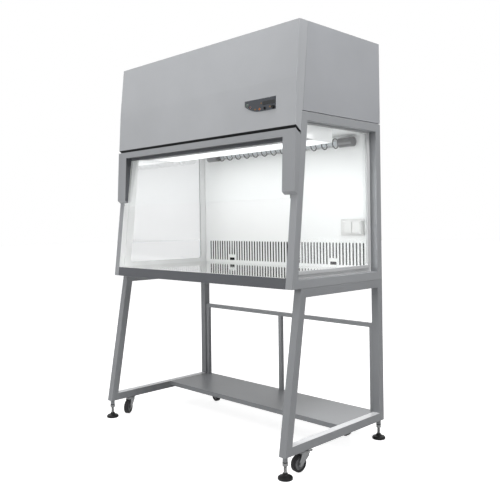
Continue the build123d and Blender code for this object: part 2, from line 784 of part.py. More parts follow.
# ---------------------------------------------------------------- socket on the back wall
socket_plate_x = half_width - socket_plate_inset
socket_box_x = half_width - socket_box_inset
socket_z = worktop_z + socket_rise
box_front_y = back_wall_front_y - socket_plate[2] - socket_box[2]
lid_axis_y = box_front_y - seat_gap - socket_lid_thickness / 2
lid_axis_z = socket_z + socket_box[1] / 2 - 4
ear_x = [socket_box_x + place * (socket_box[0] - socket_ear) / 2 for place in (-1, 0, 1)]
lid_centres = [(a + b) / 2 for a, b in zip(ear_x, ear_x[1:])]
lid_width = (socket_box[0] - socket_ear) / 2 - socket_ear - 2 * seat_gap
with BuildPart() as socket_body:
    with BuildSketch(at_y(back_wall_front_y)):
        with Locations((socket_plate_x, socket_z)):
            RectangleRounded(socket_plate[0], socket_plate[1], 6)
    extrude(amount=socket_plate[2])
    with BuildSketch(at_y(back_wall_front_y - socket_plate[2])):
        with Locations((socket_box_x, socket_z)):
            RectangleRounded(socket_box[0], socket_box[1], 4)
    extrude(amount=socket_box[2])
    for x in ear_x:
        with BuildSketch(at_x(x - socket_ear / 2)):
            with Locations((lid_axis_y, lid_axis_z)):
                Circle(socket_pin_radius + 2)
            with Locations((box_front_y + 1, lid_axis_z)):
                Rectangle(1, 2 * socket_pin_radius + 4)
            make_hull()
        extrude(amount=socket_ear)
    with BuildSketch(at_x(ear_x[0] - socket_ear / 2)):
        with Locations((lid_axis_y, lid_axis_z)):
            Circle(socket_pin_radius + running_gap)
    extrude(amount=socket_box[0], mode=Mode.SUBTRACT)
    with BuildSketch(at_y(box_front_y)):
        with Locations(*[(x, socket_z - 4) for x in lid_centres]):
            Circle(socket_recess_radius)
    extrude(amount=-socket_recess_depth, mode=Mode.SUBTRACT)
save(socket_body, "socket_body")

for label, x in zip(("socket_lid_left", "socket_lid_right"), lid_centres):
    with BuildPart() as socket_lid:
        with BuildSketch(at_x(x - lid_width / 2)):
            with Locations((lid_axis_y, lid_axis_z)):
                Circle(socket_lid_thickness / 2)
                Rectangle(
                    socket_lid_thickness,
                    socket_box[1] - 10,
                    align=(Align.CENTER, Align.MAX),
                )
        extrude(amount=lid_width)
        with BuildSketch(at_x(x)):
            with Locations((lid_axis_y, lid_axis_z)):
                Circle(socket_pin_radius)
        extrude(amount=lid_width / 2 + seat_gap + 0.45 * socket_ear, both=True)
    save(socket_lid, label)

# ---------------------------------------------------------------- front sash
arm_inner = half_width - arm_width
arm_front_top = before_post(arm_top_corner, upper_beam_bottom)
arm_front_bottom = before_post(arm_bottom_corner, upper_beam_bottom)
arm_rear_bottom_z = upper_beam_bottom - arm_rear_drop
arm_rear_top_z = upper_beam_bottom + arm_rear_rise


def sash_plane(z):
    """Y of the sash's rear face at height z, just in front of the posts."""
    return post_front(z) - seat_gap


arm_rear_bottom = (sash_plane(arm_rear_bottom_z), arm_rear_bottom_z)
arm_rear_top = (sash_plane(arm_rear_top_z), arm_rear_top_z)
header_front_bottom = (arm_front_top[0] - 1.4, upper_beam_bottom)
header_rear_bottom = (sash_plane(upper_beam_bottom), upper_beam_bottom)
arm_profile = (arm_front_top, arm_front_bottom, arm_rear_bottom, arm_rear_top)
arm_hollow = (
    arm_front_top,
    arm_front_bottom,
    beyond(arm_front_bottom, arm_rear_bottom, 1.5),
    beyond(arm_front_top, arm_rear_top, 1.5),
)
header_profile = (arm_front_top, header_front_bottom, header_rear_bottom, arm_rear_top)
top_run = tuple(b - a for a, b in zip(arm_front_top, arm_rear_top))
top_length = hypot(*top_run)
inward = (top_run[1] / top_length, -top_run[0] / top_length)


def along_top(share, depth):
    """Point at a share of the arm's slanting top wall, at a depth below its outer face."""
    start = beyond(arm_front_top, arm_rear_top, share)
    return (start[0] + depth * inward[0], start[1] + depth * inward[1])


with BuildPart() as sash_frame:
    # folded box arms, open to the rear
    for sign in (-1, 1):
        with BuildSketch(at_x(sign * arm_inner)):
            Polygon(*arm_profile, align=None)
        extrude(amount=sign * arm_width)
        with BuildSketch(at_x(sign * (arm_inner + sheet))):
            Polygon(*arm_hollow, align=None)
            offset(amount=-sheet, kind=Kind.INTERSECTION, mode=Mode.REPLACE)
        extrude(amount=sign * (arm_width - 2 * sheet), mode=Mode.SUBTRACT)
        # rear flange that the glass is bonded to
        with BuildSketch(at_x(sign * arm_inner)):
            Polygon(
                arm_rear_bottom,
                header_rear_bottom,
                (header_rear_bottom[0] - sheet, header_rear_bottom[1]),
                (arm_rear_bottom[0] - sheet, arm_rear_bottom[1]),
                align=None,
            )
        extrude(amount=sign * glazing_flange)
        # gussets that carry the hinge pin
        for gusset_x in (lug_x - gusset_spread, lug_x + gusset_spread):
            with BuildSketch(at_x(sign * gusset_x - gusset_thickness / 2)):
                Polygon(
                    along_top(0.02, sheet / 2),
                    along_top(0.6, sheet / 2),
                    (sash_axis[0] + 14, sash_axis[1] - 32),
                    (arm_front_top[0] - 0.5, sash_axis[1] - 32),
                    align=None,
                )
            extrude(amount=gusset_thickness)
        with BuildSketch(at_x(sign * (lug_x - gusset_spread - gusset_thickness))):
            with Locations(sash_axis):
                Circle(sash_pin_radius + running_gap)
        extrude(amount=sign * 2 * (gusset_spread + gusset_thickness), mode=Mode.SUBTRACT)
        # slot in the top wall for the post's lug
        with BuildSketch(at_x(sign * lug_x - lug_slot / 2)):
            Polygon(
                along_top(0.1, -1),
                along_top(1.2, -1),
                along_top(1.2, sheet + 2),
                along_top(0.1, sheet + 2),
                align=None,
            )
        extrude(amount=lug_slot, mode=Mode.SUBTRACT)
    # hollow header between the arms
    with BuildSketch(at_x(-arm_inner)):
        Polygon(*header_profile, align=None)
    extrude(amount=2 * arm_inner)
    with BuildSketch(at_x(-arm_inner - 2 * sheet)):
        Polygon(*header_profile, align=None)
        offset(amount=-sheet, kind=Kind.INTERSECTION, mode=Mode.REPLACE)
    extrude(amount=2 * arm_inner + 4 * sheet, mode=Mode.SUBTRACT)
    # glazing flange under the header
    with BuildSketch(at_x(-arm_inner)):
        Polygon(
            (sash_plane(upper_beam_bottom - 15), upper_beam_bottom - 15),
            header_rear_bottom,
            (header_rear_bottom[0] - sheet, header_rear_bottom[1]),
            (sash_plane(upper_beam_bottom - 15) - sheet, upper_beam_bottom - 15),
            align=None,
        )
    extrude(amount=2 * arm_inner)
save(sash_frame, "sash_frame")

pane_top = upper_beam_bottom - 1
sash_glass_bottom = upper_beam_bottom - sash_glass_drop
pane_half = inner_x - 2
with BuildPart() as sash_pane:
    with BuildSketch(at_x(-pane_half)):
        Polygon(
            (sash_plane(sash_glass_bottom) + bond_line, sash_glass_bottom),
            (sash_plane(pane_top) + bond_line, pane_top),
            (sash_plane(pane_top) + sash_glass, pane_top),
            (sash_plane(sash_glass_bottom) + sash_glass, sash_glass_bottom),
            align=None,
        )
    extrude(amount=2 * pane_half)
save(sash_pane, "sash_glass")

pin_half = gusset_spread + gusset_thickness
with BuildPart() as sash_pins:
    for sign in (-1, 1):
        with BuildSketch(at_x(sign * lug_x)):
            with Locations(sash_axis):
                Circle(sash_pin_radius)
        extrude(amount=pin_half, both=True)
save(sash_pins, "sash_pins")

# ================================================================ head
cabinet_profile = (
    (rear_y, head_bottom),
    (rear_y, total_height),
    (seam(total_height), total_height),
    (seam(head_bottom), head_bottom),
)
cabinet_hollow = (
    (rear_y, head_bottom),
    (rear_y, total_height),
    (seam(total_height) - 20, total_height),
    (seam(head_bottom) - 20, head_bottom),
)
flange_depth = rear_y - seam(head_bottom)
flange_y = (rear_y + seam(head_bottom)) / 2
inlet_z = head_bottom + panel_rise
intake_y = rear_y - intake_setback
mains_x = half_width - mains_inset
with BuildPart() as head_cabinet:
    with BuildSketch(at_x(-head_half)):
        Polygon(*cabinet_profile, align=None)
    extrude(amount=2 * head_half)
    with BuildSketch(at_x(sheet - head_half)):
        Polygon(*cabinet_hollow, align=None)
        offset(amount=-sheet, kind=Kind.INTERSECTION, mode=Mode.REPLACE)
    extrude(amount=2 * (head_half - sheet), mode=Mode.SUBTRACT)
    # opening inside the floor flange
    with BuildSketch(Plane.XY.offset(head_bottom)):
        with Locations((0, flange_y)):
            Rectangle(2 * (head_half - head_flange), flange_depth - 2 * head_flange)
    extrude(amount=sheet, mode=Mode.SUBTRACT)
    # recessed spacer ring on top of the chamber
    with BuildSketch(Plane.XY.offset(chamber_top)):
        with Locations((0, flange_y)):
            Rectangle(2 * (head_half - spacer_inset), flange_depth - 2 * spacer_inset)
            Rectangle(
                2 * (head_half - spacer_inset - spacer_width),
                flange_depth - 2 * (spacer_inset + spacer_width),
                mode=Mode.SUBTRACT,
            )
    extrude(amount=head_bottom - chamber_top)
    # air intake slots in the roof
    with BuildSketch(Plane.XY.offset(total_height)):
        with Locations((0, intake_y)):
            with GridLocations(intake_pitch, 0, intake_slots, 1):
                SlotOverall(intake_length, intake_width, rotation=90)
    extrude(amount=-sheet, mode=Mode.SUBTRACT)
    # hole for the mains inlet
    with BuildSketch(at_y(rear_y)):
        with Locations((mains_x, inlet_z)):
            Rectangle(mains_inlet[0] + 2 * seat_gap, mains_inlet[1] + 2 * seat_gap)
    extrude(amount=sheet, both=True, mode=Mode.SUBTRACT)
save(head_cabinet, "head_cabinet")

with BuildPart() as mains_socket:
    with BuildSketch(at_y(rear_y)):
        with Locations((mains_x, inlet_z)):
            RectangleRounded(mains_inlet[0] + 8, mains_inlet[1] + 8, 3)
    extrude(amount=-3)
    with BuildSketch(at_y(rear_y)):
        with Locations((mains_x, inlet_z)):
            Rectangle(mains_inlet[0], mains_inlet[1])
    extrude(amount=22)
    # recess with its three contact blades
    with BuildSketch(at_y(rear_y + 3)):
        with Locations((mains_x, inlet_z)):
            RectangleRounded(mains_inlet[0] - 4, mains_inlet[1] - 4, 3)
        with Locations((mains_x - 7, inlet_z + 3), (mains_x + 7, inlet_z + 3), (mains_x, inlet_z - 3)):
            Rectangle(2, 6, mode=Mode.SUBTRACT)
    extrude(amount=17, mode=Mode.SUBTRACT)
save(mains_socket, "mains_inlet")

# ---------------------------------------------------------------- fascia
fascia_step_z = chamber_top + 2
fascia_bottom_z = upper_beam_bottom + fascia_bottom_rise
fascia_bend = before_post(fascia_bend_corner, head_bottom)
fascia_bottom_front = before_post(fascia_bottom_corner, upper_beam_bottom)
fascia_top_front_y = seam(total_height) - fascia_top_depth
fascia_rear_bottom = (sash_plane(fascia_bottom_z), fascia_bottom_z)
fascia_front = ((fascia_top_front_y, total_height), fascia_bend, fascia_bottom_front)
fascia_profile = (
    *fascia_front,
    fascia_rear_bottom,
    (sash_plane(fascia_step_z), fascia_step_z),
    (seam(fascia_step_z) - flat_gap, fascia_step_z),
    (seam(total_height) - flat_gap, total_height),
)
fascia_hollow = (
    *fascia_front,
    beyond(fascia_bottom_front, fascia_rear_bottom, 2),
    (seam(total_height) + 40, total_height),
)
lean = atan2(fascia_bend[0] - fascia_bottom_front[0], fascia_bend[1] - fascia_bottom_front[1])
panel_x = half_width - panel_inset
panel_z = head_bottom + panel_rise
panel_y = fascia_bottom_front[0] + (panel_z - fascia_bottom_front[1]) * tan(lean)
panel_face = Plane(origin=(panel_x, panel_y, panel_z), x_dir=(1, 0, 0), z_dir=(0, -cos(lean), sin(lean)))
half_panel = (panel_width / 2, panel_height / 2)
with BuildSketch(panel_face) as panel_outline:
    with BuildLine():
        Polyline(
            (panel_curve_end, -half_panel[1]),
            (half_panel[0], -half_panel[1]),
            (half_panel[0], half_panel[1]),
            (-half_panel[0], half_panel[1]),
            (-half_panel[0], half_panel[1] - panel_left_edge),
        )
        TangentArc(
            (panel_curve_end, -half_panel[1]),
            (-half_panel[0], half_panel[1] - panel_left_edge),
            tangent=(-1, 0),
        )
    make_face()


def inside_panel(inset):
    """The control panel's outline, drawn in by an inset."""
    with BuildSketch(panel_face) as inner:
        add(panel_outline.sketch_local)
        offset(amount=-inset, kind=Kind.INTERSECTION, mode=Mode.REPLACE)
    return inner.sketch


with BuildPart() as fascia:
    with BuildSketch(at_x(-head_half)):
        Polygon(*fascia_profile, align=None)
    extrude(amount=2 * head_half)
    rims = fascia.edges().group_by(Axis.X)
    fillet(rims[0].sort_by(Axis.Y)[:3] + rims[-1].sort_by(Axis.Y)[:3], fascia_edge_radius)
    with BuildSketch(at_x(sheet - head_half)):
        Polygon(*fascia_hollow, align=None)
        offset(amount=-sheet, kind=Kind.INTERSECTION, mode=Mode.REPLACE)
    extrude(amount=2 * (head_half - sheet), mode=Mode.SUBTRACT)
    # tongues inside the sides, screwed to the cabinet
    for sign in (-1, 1):
        for z in (head_bottom + 60, total_height - 90):
            with BuildSketch(at_x(sign * (head_half - sheet))):
                Polygon(
                    (seam(z) - 18, z),
                    (seam(z + tongue_height) - 18, z + tongue_height),
                    (seam(z + tongue_height) + 18, z + tongue_height),
                    (seam(z) + 18, z),
                    align=None,
                )
            extrude(amount=-sign * sheet)
    extrude(inside_panel(3.5), amount=5, both=True, mode=Mode.SUBTRACT)
save(fascia, "fascia")

# ---------------------------------------------------------------- control panel
# name, position on the panel, radius
buttons = (
    ("start_button", start_button, 6.5),
    ("stop_button", stop_button, 5.0),
    ("lamp_button", lamp_button, 5.0),
)
with BuildPart() as control_panel:
    extrude(panel_outline.sketch, amount=panel_plate)
    extrude(inside_panel(4.0), amount=-panel_housing_depth)
    # raised rim
    with BuildSketch(panel_face.offset(panel_plate)):
        add(panel_outline.sketch_local)
        offset(amount=-panel_rim, mode=Mode.SUBTRACT)
    extrude(amount=0.5)
    for label, centre, radius in buttons:
        with BuildSketch(panel_face.offset(panel_plate)):
            with Locations(centre):
                Circle(radius + bezel)
        extrude(amount=0.8)
        with BuildSketch(panel_face.offset(panel_plate + 1)):
            with Locations(centre):
                Circle(radius + running_gap)
        extrude(amount=-button_well, mode=Mode.SUBTRACT)
    for centre in (key_switch, speed_knob):
        with BuildSketch(panel_face.offset(panel_plate)):
            with Locations(centre):
                Circle(control_shaft + running_gap)
        extrude(amount=-button_well, mode=Mode.SUBTRACT)
save(control_panel, "control_panel")

for label, centre, radius in buttons:
    with BuildPart() as button:
        with BuildSketch(panel_face.offset(panel_plate + button_height)):
            with Locations(centre):
                Circle(radius)
        extrude(amount=1 + button_travel + seat_gap - button_well - button_height)
        fillet(button.edges().sort_by(Axis.Y)[0], 0.6)
    save(button, label)

with BuildPart() as key_lock:
    with BuildSketch(panel_face.offset(panel_plate + seat_gap)):
        with Locations(key_switch):
            Circle(6.0)
    extrude(amount=3)
    with BuildSketch(panel_face.offset(panel_plate + seat_gap)):
        with Locations(key_switch):
            Rectangle(2.5, 10)
    extrude(amount=7)
    with BuildSketch(panel_face.offset(panel_plate + seat_gap)):
        with Locations(key_switch):
            Circle(control_shaft)
    extrude(amount=-6)
save(key_lock, "key_switch")

with BuildPart() as fan_speed_knob:
    with BuildSketch(panel_face.offset(panel_plate + seat_gap)):
        with Locations(speed_knob):
            Circle(7.5)
    extrude(amount=10, taper=6)
    with BuildSketch(panel_face.offset(panel_plate + seat_gap)):
        with Locations(speed_knob):
            Circle(control_shaft)
    extrude(amount=-6)
    # pointer groove
    with BuildSketch(panel_face.offset(panel_plate + seat_gap + 10)):
        with Locations((speed_knob[0], speed_knob[1] + 4)):
            Rectangle(1.2, 8)
    extrude(amount=-1, mode=Mode.SUBTRACT)
save(fan_speed_knob, "speed_knob")

with BuildPart() as display_window:
    with BuildSketch(panel_face.offset(panel_plate)):
        with Locations(display_centre):
            RectangleRounded(display_size[0], display_size[1], 2)
    extrude(amount=0.8)
save(display_window, "display_window")

with BuildPart() as indicator_lenses:
    with BuildSketch(panel_face.offset(panel_plate)):
        with Locations(*indicators):
            Circle(indicator_radius)
    extrude(amount=1.2)
save(indicator_lenses, "indicator_lenses")

# ---------------------------------------------------------------- filter and fan
filter_bottom = head_bottom + sheet
filter_top = filter_bottom + filter_height
filter_half_x = half_width - filter_end
filter_front_y = seam(head_bottom) + filter_front_gap
filter_rear_y = rear_y - filter_rear_gap
filter_y = (filter_front_y + filter_rear_y) / 2
filter_depth = filter_rear_y - filter_front_y
with BuildPart() as hepa_filter:
    with BuildSketch(Plane.XY.offset(filter_bottom)):
        with Locations((0, filter_y)):
            Rectangle(2 * filter_half_x, filter_depth)
    extrude(amount=filter_height)
    # the pleated pack lies a little inside its frame, above and below
    for z, depth in ((filter_bottom, 6), (filter_top, -6)):
        with BuildSketch(Plane.XY.offset(z)):
            with Locations((0, filter_y)):
                Rectangle(2 * filter_half_x - 40, filter_depth - 40)
        extrude(amount=depth, mode=Mode.SUBTRACT)
save(hepa_filter, "hepa_filter")

plenum_top = filter_top + plenum_height
with BuildPart() as fan_housing:
    with BuildSketch(Plane.XY.offset(filter_top)):
        with Locations((0, filter_y)):
            Rectangle(2 * filter_half_x - 10, filter_depth - 10)
    extrude(amount=plenum_height)
    with BuildSketch(Plane.XY.offset(filter_top)):
        with Locations((0, filter_y)):
            Rectangle(2 * filter_half_x - 10 - 2 * sheet, filter_depth - 10 - 2 * sheet)
    extrude(amount=plenum_height - sheet, mode=Mode.SUBTRACT)
    # inlet ring over the impeller's eye
    with BuildSketch(Plane.XY.offset(plenum_top - sheet - 12)):
        with Locations((0, filter_y)):
            Circle(fan_eye_radius)
    extrude(amount=sheet + 12 + 6)
    with BuildSketch(Plane.XY.offset(plenum_top - sheet - 12)):
        with Locations((0, filter_y)):
            Circle(fan_eye_radius - sheet)
    extrude(amount=sheet + 12 + 6, mode=Mode.SUBTRACT)
    # bridge over the inlet that the motor is bolted to
    with BuildSketch(Plane.XZ.offset(-filter_y - 30)):
        with Locations((0, plenum_top)):
            Rectangle(2 * bridge_half, bridge_height, align=(Align.CENTER, Align.MIN))
            Rectangle(
                2 * bridge_half - 2 * caster_channel_wall,
                bridge_height - caster_channel_wall,
                align=(Align.CENTER, Align.MIN),
                mode=Mode.SUBTRACT,
            )
    extrude(amount=-60)
    with BuildSketch(Plane.XY.offset(plenum_top + bridge_height)):
        with Locations((0, filter_y)):
            Circle(fan_shaft_radius + 4)
    extrude(amount=-2 * caster_channel_wall, mode=Mode.SUBTRACT)
save(fan_housing, "fan_housing")

bridge_top = plenum_top + bridge_height
with BuildPart() as fan_motor:
    with BuildSketch(Plane.XY.offset(bridge_top)):
        with Locations((0, filter_y)):
            Circle(55)
    extrude(amount=75)
    fillet(fan_motor.edges().sort_by(Axis.Z)[-1], 6)
    with BuildSketch(Plane.XY.offset(bridge_top)):
        with Locations((0, filter_y)):
            Circle(fan_shaft_radius + running_gap)
    extrude(amount=50, mode=Mode.SUBTRACT)
save(fan_motor, "fan_motor")

impeller_top = plenum_top - sheet - 16
impeller_bottom = impeller_top - impeller_height
with BuildPart() as fan_impeller:
    with BuildSketch(Plane.XY.offset(impeller_bottom)):
        with Locations((0, filter_y)):
            Circle(fan_radius)
    extrude(amount=2)
    with BuildSketch(Plane.XY.offset(impeller_top)):
        with Locations((0, filter_y)):
            Circle(fan_radius)
            Circle(fan_eye_radius, mode=Mode.SUBTRACT)
    extrude(amount=-2)
    # backward-curved blades between the two discs
    with BuildSketch(Plane.XY.offset(impeller_bottom)):
        with Locations((0, filter_y)):
            with PolarLocations((fan_radius + fan_eye_radius) / 2, fan_blades):
                Rectangle(fan_radius - fan_eye_radius + 12, 2, rotation=40)
    extrude(amount=impeller_height)
    with BuildSketch(Plane.XY.offset(impeller_bottom)):
        with Locations((0, filter_y)):
            Circle(25)
    extrude(amount=30)
    with BuildSketch(Plane.XY.offset(impeller_bottom)):
        with Locations((0, filter_y)):
            Circle(fan_shaft_radius)
    extrude(amount=bridge_top + 45 - impeller_bottom)
save(fan_impeller, "fan_impeller")

with BuildPart() as intake_filter:
    with BuildSketch(Plane.XY.offset(total_height - sheet)):
        with Locations((0, intake_y)):
            Rectangle(intake_pitch * intake_slots + 60, intake_length + 60)
    extrude(amount=-20)
save(intake_filter, "intake_filter")
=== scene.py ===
import math
import bmesh
import bpy
from mathutils import Matrix, Vector


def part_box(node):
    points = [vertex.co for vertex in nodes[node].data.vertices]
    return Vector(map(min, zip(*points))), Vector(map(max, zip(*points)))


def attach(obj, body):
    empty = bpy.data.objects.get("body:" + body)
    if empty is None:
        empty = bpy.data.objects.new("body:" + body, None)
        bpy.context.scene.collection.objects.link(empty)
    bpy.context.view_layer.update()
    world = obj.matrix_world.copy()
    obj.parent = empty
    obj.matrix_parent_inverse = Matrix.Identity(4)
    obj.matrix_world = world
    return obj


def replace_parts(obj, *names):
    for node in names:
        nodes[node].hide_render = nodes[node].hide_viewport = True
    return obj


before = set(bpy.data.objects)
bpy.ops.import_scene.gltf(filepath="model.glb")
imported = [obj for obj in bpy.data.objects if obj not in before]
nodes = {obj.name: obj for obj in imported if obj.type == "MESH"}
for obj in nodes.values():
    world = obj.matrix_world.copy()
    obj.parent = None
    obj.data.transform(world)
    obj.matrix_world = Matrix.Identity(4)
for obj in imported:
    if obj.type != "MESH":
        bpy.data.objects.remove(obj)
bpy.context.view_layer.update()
scene = bpy.context.scene
mm = 0.001
sides = {"left": -1, "right": 1}
corners = ("front_left", "front_right", "rear_left", "rear_right")


# ------------------------------------------------------------------ materials
def lin(r, g, b):
    """A colour given as 0 to 255 screen values, as the linear colour a shader wants."""
    out = []
    for v in (r, g, b):
        c = v / 255.0
        out.append(c / 12.92 if c <= 0.04045 else ((c + 0.055) / 1.055) ** 2.4)
    return (*out, 1.0)


def material(name, colour, rough, metal=0.0, vary=0.04, vary_scale=3.0, grain=0.0, grain_scale=900.0,
             stretch=(1, 1, 1), rough_vary=0.06, edge=0.8 * mm, coat=0.0, specular=0.2):
    """Procedural finish: slow colour drift, fine grain in the bump, uneven gloss, softened edges."""
    m = bpy.data.materials.new(name)
    m.use_nodes = True
    nt = m.node_tree
    link = nt.links.new
    bsdf = nt.nodes["Principled BSDF"]
    coord = nt.nodes.new("ShaderNodeTexCoord")

    slow = nt.nodes.new("ShaderNodeTexNoise")
    slow.inputs["Scale"].default_value = vary_scale
    slow.inputs["Detail"].default_value = 4.0
    link(coord.outputs["Object"], slow.inputs["Vector"])
    ramp = nt.nodes.new("ShaderNodeValToRGB")
    dark, light = ramp.color_ramp.elements
    dark.position = 0.3
    light.position = 0.7
    dark.color = tuple(c * (1 - vary) for c in colour[:3]) + (1.0,)
    light.color = tuple(min(1.0, c * (1 + vary)) for c in colour[:3]) + (1.0,)
    link(slow.outputs["Fac"], ramp.inputs["Fac"])
    link(ramp.outputs["Color"], bsdf.inputs["Base Color"])

    mapping = nt.nodes.new("ShaderNodeMapping")
    mapping.inputs["Scale"].default_value = stretch
    link(coord.outputs["Object"], mapping.inputs["Vector"])
    fine = nt.nodes.new("ShaderNodeTexNoise")
    fine.inputs["Scale"].default_value = grain_scale
    fine.inputs["Detail"].default_value = 3.0
    link(mapping.outputs["Vector"], fine.inputs["Vector"])
    gloss = nt.nodes.new("ShaderNodeMapRange")
    gloss.inputs["To Min"].default_value = max(0.02, rough - rough_vary)
    gloss.inputs["To Max"].default_value = min(1.0, rough + rough_vary)
    link(fine.outputs["Fac"], gloss.inputs["Value"])
    link(gloss.outputs["Result"], bsdf.inputs["Roughness"])

    bump = nt.nodes.new("ShaderNodeBump")
    bump.inputs["Strength"].default_value = 1.0
    bump.inputs["Distance"].default_value = grain
    link(fine.outputs["Fac"], bump.inputs["Height"])
    if edge:
        soft = nt.nodes.new("ShaderNodeBevel")
        soft.samples = 4
        soft.inputs["Radius"].default_value = edge
        link(soft.outputs["Normal"], bump.inputs["Normal"])
    link(bump.outputs["Normal"], bsdf.inputs["Normal"])

    bsdf.inputs["Metallic"].default_value = metal
    bsdf.inputs["Coat Weight"].default_value = coat
    bsdf.inputs["Coat Roughness"].default_value = 0.12
    bsdf.inputs["Specular IOR Level"].default_value = specular
    return m


def paint(name, colour, rough, grain=0.12 * mm, vary=0.04):
    """Powder coat with its fine orange peel."""
    return material(name, colour, rough, grain=grain, grain_scale=700, vary=vary)


def glass(name, tint, ior=1.45):
    """Clear pane: refracting for the eye, clear for the light that lamps send through it."""
    m = material(name, tint, 0.01, vary=0.005, rough_vary=0.008, edge=0.0, specular=0.5)
    nt = m.node_tree
    bsdf = nt.nodes["Principled BSDF"]
    bsdf.inputs["Transmission Weight"].default_value = 1.0
    bsdf.inputs["IOR"].default_value = ior
    path = nt.nodes.new("ShaderNodeLightPath")
    clear = nt.nodes.new("ShaderNodeBsdfTransparent")
    clear.inputs["Color"].default_value = (0.97, 0.98, 0.98, 1)
    mix = nt.nodes.new("ShaderNodeMixShader")
    out = nt.nodes["Material Output"]
    nt.links.new(path.outputs["Is Shadow Ray"], mix.inputs["Fac"])
    nt.links.new(bsdf.outputs["BSDF"], mix.inputs[1])
    nt.links.new(clear.outputs["BSDF"], mix.inputs[2])
    nt.links.new(mix.outputs["Shader"], out.inputs["Surface"])
    return m


def threaded(name, colour, pitch, depth):
    """Steel with a rolled thread around Z, as bands in the bump."""
    m = material(name, colour, 0.28, metal=1.0, grain=depth, edge=0.0)
    nt = m.node_tree
    wave = nt.nodes.new("ShaderNodeTexWave")
    wave.bands_direction = "Z"
    bands_per_unit = 20 / math.tau
    wave.inputs["Scale"].default_value = 1 / (pitch * bands_per_unit)
    nt.links.new(nt.nodes["Texture Coordinate"].outputs["Object"], wave.inputs["Vector"])
    nt.links.new(wave.outputs["Fac"], nt.nodes["Bump"].inputs["Height"])
    return m


def opal(name, colour, strength):
    """Lit plastic lens."""
    m = material(name, colour, 0.5, vary=0.005)
    bsdf = m.node_tree.nodes["Principled BSDF"]
    bsdf.inputs["Emission Color"].default_value = (1.0, 1.0, 1.0, 1)
    bsdf.inputs["Emission Strength"].default_value = strength
    return m


paint_frame = paint("frame_paint", lin(160, 162, 165), 0.38)
# a darker copy of the frame paint for the stand and shelf: painted shade under the chamber
shaded_frame_paint = paint("frame_paint_painted_shade", lin(147, 149, 152), 0.38)
paint_panel = paint("panel_paint", lin(171, 173, 177), 0.42)
paint_fascia = paint("fascia_paint", lin(178, 180, 183), 0.45)
paint_sash = paint("sash_paint", lin(157, 159, 162), 0.40)
paint_apron = paint("apron_paint", lin(94, 96, 100), 0.40)
# near-white paint that stands in for light caught on edges and top faces: a painted highlight
highlight_paint = paint("painted_highlight", lin(232, 233, 235), 0.35)
# dark paint that stands in for the shade on the undersides of the beam and the sash header: painted shade
underside_shade_paint = paint("painted_underside_shade", lin(92, 94, 97), 0.40)
paint_white = paint("white_paint", lin(236, 237, 237), 0.40, grain=0.08 * mm, vary=0.01)
paint_motor = material("motor_paint", lin(84, 86, 90), 0.45, grain=0.1 * mm)

clear_glass = glass("pane_glass", lin(253, 254, 254))
# grey tint for the left pane only: painted shade standing in for the dark reflection seen in it; the high IOR
# strengthens its reflection
shaded_pane_glass = glass("pane_glass_painted_shade", lin(236, 237, 238), ior=2.3)
tube_glass = glass("tube_glass", lin(236, 240, 244))
glass_edge = material("ground_edge", lin(176, 180, 180), 0.5, vary=0.02)

mirror_steel = material("mirror_steel", lin(228, 228, 226), 0.07, metal=1.0, grain=0.01 * mm, grain_scale=60,
                        stretch=(1, 24, 24), vary=0.02, rough_vary=0.03)
satin_steel = material("satin_steel", lin(120, 120, 120), 0.28, metal=1.0, grain=0.04 * mm)
thread_steel = threaded("rolled_thread", lin(120, 120, 120), 2 * mm, 0.8 * mm)
zinc = material("zinc_plate", lin(112, 113, 114), 0.30, metal=1.0, vary=0.10, vary_scale=120, grain=0.03 * mm)
guard_wire = material("guard_wire", lin(30, 31, 33), 0.25, metal=1.0, vary=0.15, vary_scale=60)
holder_steel = material("holder_steel", lin(104, 105, 107), 0.12, metal=1.0, vary=0.10, vary_scale=40)
aluminium = material("aluminium_sheet", lin(200, 201, 202), 0.35, metal=1.0, grain=0.03 * mm)

black_plastic = material("black_plastic", lin(11, 11, 12), 0.42, grain=0.08 * mm, grain_scale=1400, vary=0.2)
white_plastic = material("white_plastic", lin(214, 214, 213), 0.28, vary=0.01, coat=0.2)
tread = material("wheel_tread", lin(44, 44, 46), 0.62, grain=0.1 * mm, grain_scale=1200, vary=0.15,
                 vary_scale=60)
hub = material("wheel_hub", lin(118, 119, 121), 0.45, grain=0.05 * mm, vary=0.06)
seal = material("seal_rubber", lin(214, 215, 216), 0.65, grain=0.08 * mm)
# near-black that stands in for shade in the gap under the fascia and behind the back wall: painted shade
painted_shade_dark = material("painted_shade_dark", lin(40, 41, 42), 0.7, grain=0.08 * mm)
opal_lens = opal("opal_lens", lin(245, 246, 246), 0.4)
paper = material("filter_paper", lin(232, 231, 226), 0.85, grain=0.4 * mm, grain_scale=300,
                 stretch=(30, 1, 1))

panel_film = material("panel_film", lin(72, 75, 80), 0.38, grain=0.04 * mm, vary=0.05)
display = material("display_window", lin(20, 24, 27), 0.12, coat=0.6, vary=0.3, vary_scale=90)
green = material("green_button", lin(92, 108, 98), 0.3, coat=0.3)
red = material("red_button", lin(104, 74, 72), 0.3, coat=0.3)
orange = material("orange_button", lin(186, 104, 44), 0.3, coat=0.3)
amber = material("amber_lens", lin(150, 112, 66), 0.2, coat=0.4)

